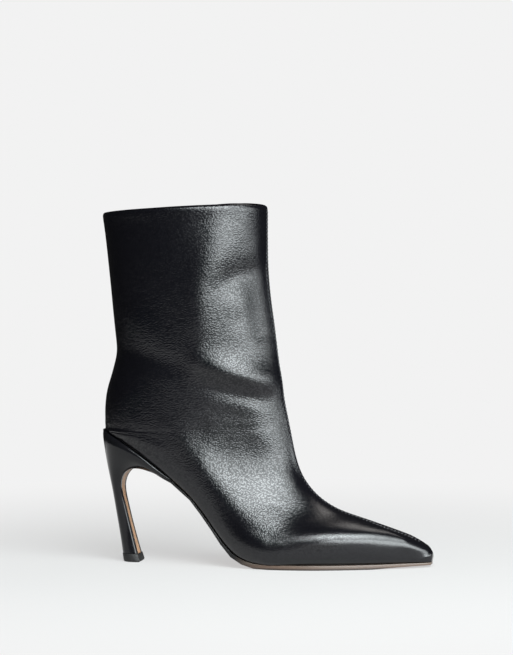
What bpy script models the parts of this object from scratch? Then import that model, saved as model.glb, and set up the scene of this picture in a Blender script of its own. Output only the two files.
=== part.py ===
"""Heeled ankle boot for the right foot: black leather upper, tan sole, slim covered heel, pointed toe.

Tables and sizes are in millimetres. +X runs from heel to toe, +Z is up, and -Y is the outer side.
The upper is a fan of flat sections. Each one spans from a base point, on the back line or on the
feather edge where upper meets sole, to a crest point on the front line, so the fan turns from level
at the collar to upright at the toe. Another size is graded from the base last by its length,
ball width, instep and heel height.
"""

import math
from collections import namedtuple

import bmesh
import bpy
import numpy as np

MM = 0.001

# Driving sizes of the boot
LENGTH = 243.5
BALL_WIDTH = 77.0
INSTEP = 79.0
HEEL_HEIGHT = 94.0

# Sizes of the base last that the tables are drawn on
BASE_LENGTH = 243.5
BASE_BALL_WIDTH = 77.0
BASE_INSTEP = 79.0
BASE_HEEL_HEIGHT = 94.0
GRADE = (LENGTH / BASE_LENGTH, BALL_WIDTH / BASE_BALL_WIDTH, HEEL_HEIGHT / BASE_HEEL_HEIGHT)
REACH_GRADE = INSTEP / BASE_INSTEP

# The boot's frame has its origin under the middle of its own box
MIDDLE_X = 121.75
MIDDLE_Y = 0.95

# Clearances and thicknesses
GAP = 0.3
WALL = 1.8
INSOLE_THICKNESS = 2.0
INSOLE_INSET = WALL + 0.6
SOLE_AT_BALL = 3.3
SOLE_AT_TIP = 1.7
SOLE_AT_ARCH = 1.4
FLAP_THICKNESS = 1.5
FLAP_MARGIN = 2.0
SOLE_PROUD = 0.5
SOLE_TUCK = 1.2
FLOOR_SNAP = 0.3

# Places along the sole, from the heel's back
SOLE_FROM = 62.0
ARCH_THIN_TO = 84.0
ARCH_THICK_FROM = 116.0
TUCKED_TO = 92.0
PROUD_FROM = 122.0
TIP_THINS_FROM = 190.0

# Front centre seam: a groove between two raised edges
SEAM_REACH = 2.9
SEAM_EDGE = 1.2
SEAM_RISE = 0.5
SEAM_GROOVE = 0.35
SEAM_FADES_FROM = 224.0
SEAM_ENDS = 241.0
SEAM_WIDEST_SHARE = 0.25

# The sides of the collar are cut higher than its front and back
COLLAR_RISE = 3.2
COLLAR_RISE_FROM = 205.0
COLLAR_TOP = 260.0

# The toe swings towards the inner side of the foot
TOE_SWING = 2.4
SWING_FROM = 145.0

# Mesh fineness
SECTIONS_PER_ROW = 2
POINTS_PER_SIDE = 15
ARC_SAMPLES = 90
HEEL_RINGS_PER_ROW = 2
HEEL_SIDE_POINTS = 9
HEEL_BACK_CROWDING = 1.7
INSOLE_ROWS_OFF_BACK = 1
INSOLE_ROWS_OFF_TOE = 3
MERGE_WITHIN = 0.01
SHARP_FROM_DEGREES = 35
FULLEST_FEATHER = 0.999

Section = namedtuple(
    "Section",
    "crest_x crest_z base_x base_z outer inner feather_outer feather_inner widest crown tuck",
)
# crest and base: ends of the section in the side view
# outer, inner: greatest half width on either side; feather: half width where the wall meets the sole
# widest: how far up from base to crest the greatest width lies
# crown, tuck: roundness towards the crest and towards the base, 2 for an ellipse, more for a squarer turn
LAST = [
    Section(122.6, 260.0, 0.0, 254.0, 36.0, 36.0, 0.0, 0.0, 0.50, 2.0, 2.0),
    Section(122.6, 232.0, 2.7, 232.0, 36.0, 36.0, 0.0, 0.0, 0.50, 2.0, 2.0),
    Section(124.5, 199.0, 6.3, 198.0, 35.4, 35.4, 0.0, 0.0, 0.49, 2.0, 2.0),
    Section(128.4, 170.0, 9.1, 169.0, 34.0, 34.0, 0.0, 0.0, 0.46, 1.98, 2.0),
    Section(130.9, 147.0, 10.3, 152.8, 32.7, 32.6, 0.0, 0.0, 0.42, 1.95, 2.05),
    Section(133.0, 130.0, 6.5, 136.8, 32.0, 31.4, 0.0, 0.0, 0.399, 1.92, 2.1),
    Section(135.0, 120.0, 2.6, 124.4, 31.6, 30.7, 0.0, 0.0, 0.39, 1.9, 2.13),
    Section(136.4, 113.5, 1.4, 111.8, 31.35, 30.25, 0.0, 0.0, 0.379, 1.89, 2.15),
    Section(137.3, 109.2, 1.5, 105.0, 31.2, 29.95, 0.0, 0.0, 0.372, 1.88, 2.17),
    Section(138.4, 104.0, 2.4, 97.2, 31.0, 29.6, 0.0, 0.0, 0.363, 1.87, 2.2),
    Section(138.9, 101.5, 4.7, 96.1, 30.9, 29.4, 10.1, 9.6, 0.352, 1.865, 2.2),
    Section(139.9, 96.8, 12.2, 92.5, 30.7, 29.1, 18.7, 17.7, 0.321, 1.86, 2.2),
    Section(141.3, 90.0, 26.0, 85.0, 30.4, 28.6, 25.0, 23.5, 0.273, 1.845, 2.2),
    Section(143.7, 79.4, 48.7, 68.4, 30.0, 27.8, 26.0, 23.8, 0.208, 1.825, 2.2),
    Section(147.6, 67.4, 70.8, 48.9, 30.2, 27.2, 25.2, 20.8, 0.191, 1.81, 2.2),
    Section(153.2, 58.0, 87.0, 27.9, 32.4, 29.4, 27.6, 22.0, 0.174, 1.8, 2.2),
    Section(161.4, 49.1, 102.6, 10.2, 36.0, 34.0, 32.0, 27.8, 0.173, 1.81, 2.2),
    Section(171.0, 42.6, 119.0, 4.1, 38.6, 38.2, 35.8, 33.8, 0.178, 1.84, 2.2),
    Section(181.5, 38.0, 140.0, 3.6, 39.8, 41.2, 37.6, 38.6, 0.18, 1.9, 2.2),
    Section(194.1, 33.6, 165.0, 3.6, 37.0, 41.0, 35.2, 39.0, 0.17, 2.0, 2.2),
    Section(208.0, 28.6, 191.0, 3.6, 28.8, 34.2, 27.2, 32.4, 0.18, 2.2, 2.2),
    Section(222.0, 23.9, 214.0, 3.7, 18.9, 25.0, 17.6, 23.5, 0.20, 2.4, 2.2),
    Section(232.8, 19.8, 230.4, 3.8, 10.6, 16.4, 9.6, 15.2, 0.22, 2.4, 2.2),
    Section(240.0, 15.6, 238.6, 3.8, 5.6, 11.0, 4.8, 10.1, 0.25, 2.3, 2.2),
    Section(242.9, 11.4, 241.4, 3.8, 3.1, 8.2, 2.6, 7.6, 0.30, 2.2, 2.2),
    Section(243.5, 7.6, 242.3, 3.8, 2.0, 6.9, 1.7, 6.5, 0.35, 2.1, 2.2),
    Section(242.7, 3.9, 242.6, 3.8, 1.6, 6.4, 1.5, 6.3, 0.40, 2.0, 2.2),
]
LAST_CLOSED_ROW = 9

HeelRing = namedtuple(
    "HeelRing", "back_x back_z front_x front_z outer inner front_share bow recess"
)
# back and front: ends of the ring in the side view; outer, inner: greatest half widths
# front_share: half width at the front corner as a share of the greatest
# bow: how far the ring arches above a straight line; recess: depth of the channel for the sole's flap
HEEL = [
    HeelRing(0.8, 96.5, 56.5, 61.2, 27.0, 25.8, 0.93, 4.6, 0.0),
    HeelRing(0.5, 94.0, 50.0, 63.6, 27.2, 26.0, 0.90, 4.0, 0.8),
    HeelRing(1.2, 89.5, 40.0, 67.6, 25.6, 24.8, 0.86, 2.8, 1.8),
    HeelRing(2.2, 83.5, 30.5, 69.7, 22.6, 22.2, 0.84, 1.6, 1.8),
    HeelRing(3.5, 75.5, 22.0, 68.0, 18.0, 17.8, 0.84, 0.6, 1.8),
    HeelRing(5.2, 66.0, 17.0, 62.6, 13.2, 13.2, 0.86, 0.0, 1.8),
    HeelRing(7.5, 54.5, 15.6, 53.6, 9.8, 9.8, 0.90, 0.0, 1.8),
    HeelRing(9.5, 42.3, 18.2, 42.0, 8.2, 8.2, 0.93, 0.0, 1.8),
    HeelRing(11.6, 30.0, 21.1, 30.0, 7.8, 7.8, 0.94, 0.0, 1.8),
    HeelRing(13.6, 18.0, 24.2, 18.0, 8.2, 8.2, 0.94, 0.0, 1.8),
    HeelRing(15.3, 6.3, 27.4, 6.3, 9.2, 9.2, 0.94, 0.0, 1.8),
]
HEEL_ROUND = 2.2
HEEL_WIDEST = 0.72

TopPieceRing = namedtuple("TopPieceRing", "z back_x front_x half")
TOP_PIECE = [
    TopPieceRing(6.0, 15.2, 27.9, 9.4),
    TopPieceRing(1.0, 15.9, 29.5, 9.6),
    TopPieceRing(0.0, 16.4, 29.0, 9.0),
]
TOP_PIECE_FRONT_SHARE = 0.94

BLACK_LEATHER = ("black leather", (0.012, 0.012, 0.014), 0.42)
TAN_SOLE = ("tan resin sole", (0.33, 0.22, 0.14), 0.55)
PALE_INSOLE = ("insole sock", (0.36, 0.29, 0.22), 0.8)
BLACK_HEEL_COVER = ("black heel cover", (0.014, 0.014, 0.016), 0.35)
BLACK_RUBBER = ("black heel rubber", (0.02, 0.02, 0.02), 0.7)


def clear_scene():
    for scene_object in list(bpy.data.objects):
        bpy.data.objects.remove(scene_object, do_unlink=True)


def smooth_step(low, high, value):
    share = min(max((value - low) / (high - low), 0.0), 1.0)
    return share * share * (3.0 - 2.0 * share)


def cubic_through(places, values, where):
    """Smooth curve through values at places, with each slope taken from the two neighbours."""
    places = np.asarray(places, float)
    values = np.asarray(values, float)
    slopes = np.gradient(values, places, axis=0)
    k = int(np.clip(np.searchsorted(places, where, side="right") - 1, 0, len(places) - 2))
    span = places[k + 1] - places[k]
    t = (where - places[k]) / span
    rise = values[k] * (1 + 2 * t) * (1 - t) ** 2 + values[k + 1] * t * t * (3 - 2 * t)
    lean = slopes[k] * t * (1 - t) ** 2 - slopes[k + 1] * t * t * (1 - t)
    return rise + lean * span


def spaced_rows(rows, steps, ends):
    """Rows of a table filled in smoothly, steps new rows for each old one; ends gives a row's two ends."""
    values = np.array(rows, float)
    travel = [0.0]
    for before, after in zip(values[:-1], values[1:]):
        moved = [np.linalg.norm(ends(after)[k] - ends(before)[k]) for k in range(2)]
        travel.append(travel[-1] + sum(moved) / 2)
    kind = type(rows[0])
    filled = []
    for k in range(len(rows) - 1):
        for step in range(steps):
            where = travel[k] + (travel[k + 1] - travel[k]) * step / steps
            filled.append(kind(*cubic_through(travel, values, where)))
    filled.append(rows[-1])
    return filled


def last_rows():
    rows = spaced_rows(LAST, SECTIONS_PER_ROW, lambda row: (row[0:2], row[2:4]))
    closed = LAST_CLOSED_ROW * SECTIONS_PER_ROW
    return rows, closed


def half_arc(section, half_width, feather):
    """Heights (0 at base, 1 at crest) and widths of one side of a section, densely sampled."""
    share = min(max(feather / half_width, 0.0), FULLEST_FEATHER)
    lowest = (1.0 - share**section.tuck) ** (1.0 / section.tuck)
    heights, widths = [], []
    for k in range(ARC_SAMPLES):
        down = math.cos(0.5 * math.pi * k / ARC_SAMPLES) * lowest
        heights.append(section.widest * (1.0 - down / lowest))
        widths.append(half_width * (1.0 - down**section.tuck) ** (1.0 / section.tuck))
    for k in range(ARC_SAMPLES + 1):
        up = math.sin(0.5 * math.pi * k / ARC_SAMPLES)
        heights.append(section.widest + (1.0 - section.widest) * up)
        widths.append(half_width * max(1.0 - up**section.crown, 0.0) ** (1.0 / section.crown))
    return np.array(heights), np.array(widths)


def ridge_y(section):
    return TOE_SWING * smooth_step(SWING_FROM, BASE_LENGTH, section.crest_x)


def section_side(section, side):
    """Points from base to crest on one side: -1 is the outer side of the foot, 1 the inner."""
    ridge = ridge_y(section)
    half_width = (section.outer if side < 0 else section.inner) - side * ridge
    feather = (section.feather_outer if side < 0 else section.feather_inner) - side * ridge
    base = np.array((section.base_x, section.base_z))
    rise = REACH_GRADE * (np.array((section.crest_x, section.crest_z)) - base)
    reach = np.linalg.norm(rise)
    heights, widths = half_arc(section, half_width, feather)
    steps = np.hypot(np.diff(heights) * reach, np.diff(widths))
    lengths = np.concatenate(([0.0], np.cumsum(steps)))
    seam = min(1.0, SEAM_WIDEST_SHARE * lengths[-1] / SEAM_REACH)
    along = np.linspace(0.0, lengths[-1] - SEAM_REACH * seam, POINTS_PER_SIDE)
    along = np.concatenate((along, [lengths[-1] - SEAM_EDGE * seam, lengths[-1]]))
    height = np.interp(along, lengths, heights)
    width = np.interp(along, lengths, widths)
    fade = 1.0 - smooth_step(SEAM_FADES_FROM, SEAM_ENDS, section.crest_x)
    raised = np.zeros(len(along))
    raised[-2] = SEAM_RISE * fade
    raised[-1] = -SEAM_GROOVE * fade
    collar = COLLAR_RISE * smooth_step(COLLAR_RISE_FROM, COLLAR_TOP, section.crest_z)
    x = base[0] + rise[0] * height + rise[0] / reach * raised
    z = base[1] + rise[1] * height + rise[1] / reach * raised + collar * width / half_width
    return np.column_stack((x, ridge + side * width, z))


def section_points(section):
    outer = section_side(section, -1)
    inner = section_side(section, 1)
    return np.vstack((outer, inner[-2::-1]))


def metres(point):
    x, y, z = point
    return (
        (x - MIDDLE_X) * GRADE[0] * MM,
        (y - MIDDLE_Y) * GRADE[1] * MM,
        z * GRADE[2] * MM,
    )


def add_ring(mesh, points):
    return [mesh.verts.new(metres(point)) for point in points]


def join_rings(mesh, first, second, closed):
    count = len(first) if closed else len(first) - 1
    for k in range(count):
        after = (k + 1) % len(first)
        mesh.faces.new((first[k], first[after], second[after], second[k]))


def ladder_cap(mesh, ring):
    """Closes a ring whose two sides mirror each other with rungs between them."""
    low, high = 0, len(ring) - 1
    while high - low > 2:
        mesh.faces.new((ring[low], ring[low + 1], ring[high - 1], ring[high]))
        low, high = low + 1, high - 1
    if high - low == 2:
        mesh.faces.new((ring[low], ring[low + 1], ring[high]))


def finished(name, mesh, look):
    """Turns the mesh outwards and makes it a named, smooth-shaded object with its material."""
    bmesh.ops.remove_doubles(mesh, verts=mesh.verts, dist=MERGE_WITHIN * MM)
    bmesh.ops.recalc_face_normals(mesh, faces=mesh.faces)
    data = bpy.data.meshes.new(name)
    mesh.to_mesh(data)
    mesh.free()
    data.shade_smooth()
    data.set_sharp_from_angle(angle=math.radians(SHARP_FROM_DEGREES))
    piece = bpy.data.objects.new(name, data)
    bpy.context.scene.collection.objects.link(piece)
    title, colour, roughness = look
    material = bpy.data.materials.new(title)
    material.use_nodes = True
    shader = material.node_tree.nodes["Principled BSDF"]
    shader.inputs["Base Color"].default_value = (*colour, 1.0)
    shader.inputs["Roughness"].default_value = roughness
    shader.inputs["Metallic"].default_value = 0.0
    data.materials.append(material)
    return piece


def make_upper():
    """The wall's outer face, given its thickness inwards."""
    rows, closed = last_rows()
    mesh = bmesh.new()
    rings = [add_ring(mesh, section_points(row)) for row in rows]
    for first, second in zip(rings[:-1], rings[1:]):
        join_rings(mesh, first, second, closed=False)
    upper = finished("upper", mesh, BLACK_LEATHER)
    wall = upper.modifiers.new("wall", "SOLIDIFY")
    wall.thickness = WALL * MM
    wall.offset = -1.0
    wall.use_rim = True
    wall.use_quality_normals = True
    print("upper:", len(rows), "sections,", closed, "of them closed round the back")
    return upper


def feather_rows():
    """The sections whose base lies on the feather edge, from the back of the seat to the toe."""
    rows, closed = last_rows()
    return rows[closed:]


def across(points):
    """Unit directions square to a path in the side view, pointing down or out of the boot."""
    path = np.asarray(points, float)
    run = np.gradient(path, axis=0)
    run /= np.linalg.norm(run, axis=1)[:, None]
    return np.column_stack((run[:, 1], -run[:, 0]))


def inset_sides(rows, inset):
    """Half widths and places along the feather edge, moved inwards square to the outline."""
    path = np.array([(row.base_x, row.base_z) for row in rows])
    along = np.concatenate(([0.0], np.cumsum(np.linalg.norm(np.diff(path, axis=0), axis=1))))
    sides = []
    for feather in ("feather_outer", "feather_inner"):
        half = np.array([getattr(row, feather) for row in rows])
        edge = np.column_stack((along, half))
        inwards = across(edge)
        moved = edge + inset * inwards
        sides.append(moved)
    return along, path, sides


def make_insole():
    rows = feather_rows()
    along, path, sides = inset_sides(rows, INSOLE_INSET)
    up = -across(path)
    mesh = bmesh.new()
    rings = []
    kept = slice(INSOLE_ROWS_OFF_BACK, -INSOLE_ROWS_OFF_TOE)
    for (outer_at, outer), (inner_at, inner) in zip(sides[0][kept], sides[1][kept]):
        ring = []
        for at, y, lift in (
            (outer_at, -outer, 0.0),
            (inner_at, inner, 0.0),
            (inner_at, inner, INSOLE_THICKNESS),
            (outer_at, -outer, INSOLE_THICKNESS),
        ):
            x = np.interp(at, along, path[:, 0]) + lift * np.interp(at, along, up[:, 0])
            z = np.interp(at, along, path[:, 1]) + lift * np.interp(at, along, up[:, 1])
            ring.append((x, y, z))
        rings.append(add_ring(mesh, ring))
    for first, second in zip(rings[:-1], rings[1:]):
        join_rings(mesh, first, second, closed=True)
    mesh.faces.new(rings[0])
    mesh.faces.new(rings[-1])
    return finished("insole", mesh, PALE_INSOLE)


def heel_rings():
    return spaced_rows(HEEL, HEEL_RINGS_PER_ROW, lambda row: (row[0:2], row[2:4]))


def heel_half_width(share, half_width, front_share):
    """Half width at a share of the way from back to front: a round back, then a slow narrowing."""
    if share < HEEL_WIDEST:
        back = 1.0 - share / HEEL_WIDEST
        return half_width * (1.0 - back**HEEL_ROUND) ** (1.0 / HEEL_ROUND)
    ahead = (share - HEEL_WIDEST) / (1.0 - HEEL_WIDEST)
    return half_width * (1.0 - (1.0 - front_share) * ahead**2)


def crowded_shares():
    """Shares of the way from back to front, from 1 down to 0, closer together round the back."""
    last = HEEL_SIDE_POINTS - 1
    return [(1.0 - k / last) ** HEEL_BACK_CROWDING for k in range(HEEL_SIDE_POINTS)]


def seat_height(x):
    """Height of the feather edge above the heel, for the heel's top face to follow."""
    rows = feather_rows()
    return np.interp(x, [row.base_x for row in rows], [row.base_z for row in rows])


def heel_outline(ring, on_seat):
    """One ring without its front: from the outer front corner round the back to the inner one."""
    shares = crowded_shares()
    back = np.array((ring.back_x, ring.back_z))
    rise = np.array((ring.front_x, ring.front_z)) - back

    def spot(share, y):
        x, z = back + rise * share
        z += 4.0 * ring.bow * share * (1.0 - share)
        if on_seat:
            z = seat_height(x) - GAP
        return (x, y, z)

    outer = [spot(s, -heel_half_width(s, ring.outer, ring.front_share)) for s in shares]
    inner = [spot(s, heel_half_width(s, ring.inner, ring.front_share)) for s in shares[-2::-1]]
    return outer + inner


def channel(ring, inwards):
    """The shallow channel across the front of a ring, from its inner edge to its outer edge."""
    half_inner = ring.inner * ring.front_share - FLAP_MARGIN
    half_outer = ring.outer * ring.front_share - FLAP_MARGIN
    edge = np.array((ring.front_x, ring.front_z))
    floor = edge + inwards * ring.recess
    return [
        (edge[0], half_inner, edge[1]),
        (floor[0], half_inner, floor[1]),
        (floor[0], -half_outer, floor[1]),
        (edge[0], -half_outer, edge[1]),
    ]


def front_inwards(rings):
    """Directions from the heel's front line into the heel."""
    return across([(ring.front_x, ring.front_z) for ring in rings])


def make_heel():
    rows = heel_rings()
    inwards = front_inwards(rows)
    mesh = bmesh.new()
    rings = []
    for k, row in enumerate(rows):
        points = heel_outline(row, on_seat=(k == 0)) + channel(row, inwards[k])
        rings.append(add_ring(mesh, points))
    for first, second in zip(rings[:-1], rings[1:]):
        join_rings(mesh, first, second, closed=True)
    around = 2 * HEEL_SIDE_POINTS - 1
    for ring in (rings[0], rings[-1]):
        ladder_cap(mesh, ring[:around])
        mesh.faces.new((ring[0], ring[around - 1], *ring[around:]))
    return finished("heel", mesh, BLACK_HEEL_COVER)


def sole_thickness(x):
    to_tip = (SOLE_AT_TIP - SOLE_AT_BALL) * smooth_step(TIP_THINS_FROM, BASE_LENGTH, x)
    to_arch = (SOLE_AT_ARCH - SOLE_AT_BALL) * (1.0 - smooth_step(ARCH_THIN_TO, ARCH_THICK_FROM, x))
    return SOLE_AT_BALL + to_tip + to_arch


def sole_margin(x):
    """How far the sole's edge stands out from the feather edge: short of it at the waist, past it ahead."""
    return -SOLE_TUCK + (SOLE_PROUD + SOLE_TUCK) * smooth_step(TUCKED_TO, PROUD_FROM, x)


def sole_stations():
    """From toe to heel tip: place of the upper face, half widths, thickness and the lowest it may reach."""
    stations = []
    feather = [row for row in feather_rows() if row.base_x > SOLE_FROM]
    path = [(row.base_x, row.base_z) for row in feather]
    for row, down in zip(reversed(feather), across(path)[::-1]):
        margin = sole_margin(row.base_x)
        stations.append((
            (row.base_x + GAP * down[0], row.base_z + GAP * down[1]),
            row.feather_outer + margin,
            row.feather_inner + margin,
            sole_thickness(row.base_x),
            0.0,
        ))
    rings = heel_rings()
    for ring, inwards in zip(rings, front_inwards(rings)):
        depth = ring.recess - GAP
        stations.append((
            (ring.front_x + depth * inwards[0], ring.front_z + depth * inwards[1]),
            ring.outer * ring.front_share - FLAP_MARGIN - GAP,
            ring.inner * ring.front_share - FLAP_MARGIN - GAP,
            FLAP_THICKNESS,
            TOP_PIECE[0].z + GAP,
        ))
    return stations


def make_outsole():
    stations = sole_stations()
    outwards = -across([station[0] for station in stations])
    mesh = bmesh.new()
    rings = []
    for (place, outer, inner, thickness, lowest), out in zip(stations, outwards):
        under = np.array(place) + out * thickness
        if under[1] < lowest + FLOOR_SNAP:
            under[1] = lowest
        x, z = place[0], max(place[1], lowest)
        rings.append(add_ring(mesh, [
            (x, -outer, z),
            (x, inner, z),
            (under[0], inner, under[1]),
            (under[0], -outer, under[1]),
        ]))
    for first, second in zip(rings[:-1], rings[1:]):
        join_rings(mesh, first, second, closed=True)
    mesh.faces.new(rings[0])
    mesh.faces.new(rings[-1])
    return finished("outsole", mesh, TAN_SOLE)


def make_top_piece():
    shares = crowded_shares()
    mesh = bmesh.new()
    rings = []
    for row in TOP_PIECE:
        depth = row.front_x - row.back_x
        half = [heel_half_width(s, row.half, TOP_PIECE_FRONT_SHARE) for s in shares]
        outer = [(row.back_x + depth * s, -w, row.z) for s, w in zip(shares, half)]
        inner = [(x, -y, z) for x, y, z in outer[-2::-1]]
        rings.append(add_ring(mesh, outer + inner))
    for first, second in zip(rings[:-1], rings[1:]):
        join_rings(mesh, first, second, closed=True)
    ladder_cap(mesh, rings[0])
    ladder_cap(mesh, rings[-1])
    return finished("top_piece", mesh, BLACK_RUBBER)


clear_scene()
make_upper()
make_insole()
make_heel()
make_outsole()
make_top_piece()
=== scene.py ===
# %% [markdown]
# # Dressing a heeled ankle boot
#
# The boot is a right one: a straight leather shaft, a long pointed toe, a slim curved heel covered in
# leather and a thin tan sole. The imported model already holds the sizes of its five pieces, so this lesson
# loads it as a fixed frame and only adds what the eye sees up close: soft creases, a seam with its
# stitches, a lining, rounded edges and the finish of each material.

# %% Load the frame
import math
from collections import namedtuple

import bmesh
import bpy
import numpy as np
from mathutils import Matrix, Vector
from mathutils.bvhtree import BVHTree


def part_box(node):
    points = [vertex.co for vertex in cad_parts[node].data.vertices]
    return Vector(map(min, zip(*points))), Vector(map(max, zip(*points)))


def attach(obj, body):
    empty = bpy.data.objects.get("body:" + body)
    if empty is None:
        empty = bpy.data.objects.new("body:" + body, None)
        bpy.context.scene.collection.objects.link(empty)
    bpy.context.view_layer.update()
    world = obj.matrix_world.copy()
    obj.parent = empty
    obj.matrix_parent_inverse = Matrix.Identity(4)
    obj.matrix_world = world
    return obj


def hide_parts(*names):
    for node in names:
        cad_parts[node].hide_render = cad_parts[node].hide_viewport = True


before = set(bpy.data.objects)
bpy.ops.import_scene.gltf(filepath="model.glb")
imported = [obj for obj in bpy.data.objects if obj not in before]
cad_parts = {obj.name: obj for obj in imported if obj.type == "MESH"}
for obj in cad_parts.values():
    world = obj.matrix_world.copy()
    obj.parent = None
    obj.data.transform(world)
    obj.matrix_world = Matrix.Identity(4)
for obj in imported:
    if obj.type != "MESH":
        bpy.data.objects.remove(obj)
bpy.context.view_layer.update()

MM = 0.001

# %% [markdown]
# ## The boot's own measure
#
# A shoemaker measures a boot from the back of the heel forward and from the floor up. The frame has its
# origin under the middle of the boot instead. One small function turns the maker's millimetres into the
# frame's metres, so that every crease and stitch below can be given in the boot's own sizes.

# %% Measure from the heel and the floor
HEEL_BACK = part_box("upper")[0].x
# The boot's own middle line, a little beside the middle of its box
RIDGE_Y = -0.95 * MM
TOE_TIP, TIP_HEIGHT = 243.5, 8.0


def boot_point(from_heel, across, height):
    """A place in the frame, from millimetres forward of the heel, across from the middle line and up."""
    return Vector((HEEL_BACK + from_heel * MM, RIDGE_Y + across * MM, height * MM))


print("toe tip at", boot_point(TOE_TIP, 0.0, TIP_HEIGHT))

# %% [markdown]
# ## Camera
#
# The photograph looks at the outer side of the boot from a little towards the toe and just above the
# collar. The boot's verticals barely lean in, so the camera stands far back with a long lens. A near one
# would swell the toe. The frame is taller than it is wide, and then Blender lays the sensor's width along
# the tall side.

# %% Set the camera
CAMERA_AZIMUTH = math.radians(10.0)
CAMERA_DISTANCE = 2400.0 * MM
CAMERA_HEIGHT = 293.2 * MM
LENS = 182.1
AIM_FROM_HEEL, AIM_HEIGHT = 114.5, 171.9

aim = boot_point(AIM_FROM_HEEL, 0.0, AIM_HEIGHT)
eye = aim + Vector((math.sin(CAMERA_AZIMUTH), -math.cos(CAMERA_AZIMUTH), 0.0)) * CAMERA_DISTANCE
eye.z = CAMERA_HEIGHT
camera_data = bpy.data.cameras.new("photo_camera")
camera_data.lens = LENS
camera = bpy.data.objects.new("photo_camera", camera_data)
camera.location = eye
camera.rotation_euler = (aim - eye).to_track_quat("-Z", "Y").to_euler()
bpy.context.scene.collection.objects.link(camera)
bpy.context.scene.camera = camera
print("camera at", tuple(round(v, 3) for v in eye))

# %% [markdown]
# ## One way to write a material
#
# A node material is a small graph. Writing it out by hand takes three lines for each node, so one function
# adds a node, gives it its settings and joins its inputs. An input is either a plain value or another
# node's output. Colours are written as the hex values that a colour picker shows and turned into linear
# light once.

# %% Helpers for materials


def linear(hex_colour):
    """An sRGB hex colour as linear red, green, blue and alpha, by the sRGB standard's own curve."""
    parts = [int(hex_colour[k:k + 2], 16) / 255 for k in (0, 2, 4)]
    return (*[v / 12.92 if v <= 0.04045 else ((v + 0.055) / 1.055) ** 2.4 for v in parts], 1.0)


def add(tree, kind, inputs=None, **settings):
    """A new node of this kind with its settings, and its inputs set or joined."""
    node = tree.nodes.new("ShaderNode" + kind)
    for name, value in settings.items():
        setattr(node, name, value)
    for name, value in (inputs or {}).items():
        if isinstance(value, bpy.types.NodeSocket):
            tree.links.new(value, node.inputs[name])
        else:
            node.inputs[name].default_value = value
    return node


def new_material(name):
    """An empty node material and its graph, ready for a shader."""
    material = bpy.data.materials.new(name)
    material.use_nodes = True
    material.node_tree.nodes.clear()
    return material, material.node_tree


def per_metre(size_mm):
    """The texture scale that gives a pattern this spacing, in millimetres, on Object coordinates."""
    return 1.0 / (size_mm * MM)


print("pebbles of 1 mm need a scale of", per_metre(1.0))

# %% [markdown]
# ## Studio
#
# The floor is pale paper that runs on and curves up into a backdrop all round, so no horizon shows from
# any side. Black leather has little colour of its own: what the eye sees on it is the room. In the
# photograph it mirrors a lit patch of floor, one large bright panel on the toe's side and otherwise a dark
# room. So the paper near the boot is one object, and the far backdrop is another that does not show in
# reflections.

# %% Background paper
# Uncoated paper on a light table: matt, with a faint mottle, and partly lit from below, which softens
# shadows. Further out it glows evenly, as a backdrop with lamps of its own does.
MOTTLES_PER_METRE = 3.0
# The paper glows least within the first radius and fully from the second, in metres
DIM_RADIUS, NEAR_RADIUS = 0.1, 0.65
LIT_FROM_BELOW = 0.58

paper, tree = new_material("uncoated_pale_background_paper")
place = add(tree, "TexCoord").outputs["Object"]
mottle = add(tree, "TexNoise", {"Vector": place, "Scale": MOTTLES_PER_METRE, "Detail": 3.0})
tint = add(
    tree, "Mix",
    {"Factor": mottle.outputs["Fac"], "A": linear("A0A09F"), "B": linear("A3A3A2")},
    data_type="RGBA",
)
matt = add(tree, "BsdfDiffuse", {"Color": tint.outputs["Result"]})
glow = add(tree, "Emission", {"Color": linear("F2F2F2"), "Strength": 1.0})
flat = add(tree, "VectorMath", {0: place, 1: (1.0, 1.0, 0.0)}, operation="MULTIPLY")
away = add(tree, "VectorMath", {0: flat.outputs["Vector"]}, operation="LENGTH")
far = add(
    tree, "MapRange",
    {
        "Value": away.outputs["Value"],
        "From Min": DIM_RADIUS, "From Max": NEAR_RADIUS,
        "To Min": LIT_FROM_BELOW,
    },
    interpolation_type="SMOOTHSTEP",
)
blend = add(
    tree, "MixShader",
    {0: far.outputs["Result"], 1: matt.outputs["BSDF"], 2: glow.outputs["Emission"]},
)
add(tree, "OutputMaterial", {"Surface": blend.outputs["Shader"]})
print("paper nodes:", len(tree.nodes))

# %% Floor and backdrop
BOWL_RADIUS, BOWL_HEIGHT = 4.5, 3.0
SWEEP, SWEEP_STEPS = 1.2, 12
RING_SIDES = 96


def new_stage(name, mesh, material):
    """A smooth object that belongs to the studio, not to the boot."""
    data = bpy.data.meshes.new(name)
    mesh.to_mesh(data)
    mesh.free()
    data.shade_smooth()
    data.materials.append(material)
    stage_object = bpy.data.objects.new(name, data)
    bpy.context.scene.collection.objects.link(stage_object)
    return stage_object


mesh = bmesh.new()
bmesh.ops.create_circle(mesh, cap_ends=True, segments=RING_SIDES, radius=NEAR_RADIUS)
near_floor = new_stage("paper_floor", mesh, paper)

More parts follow.
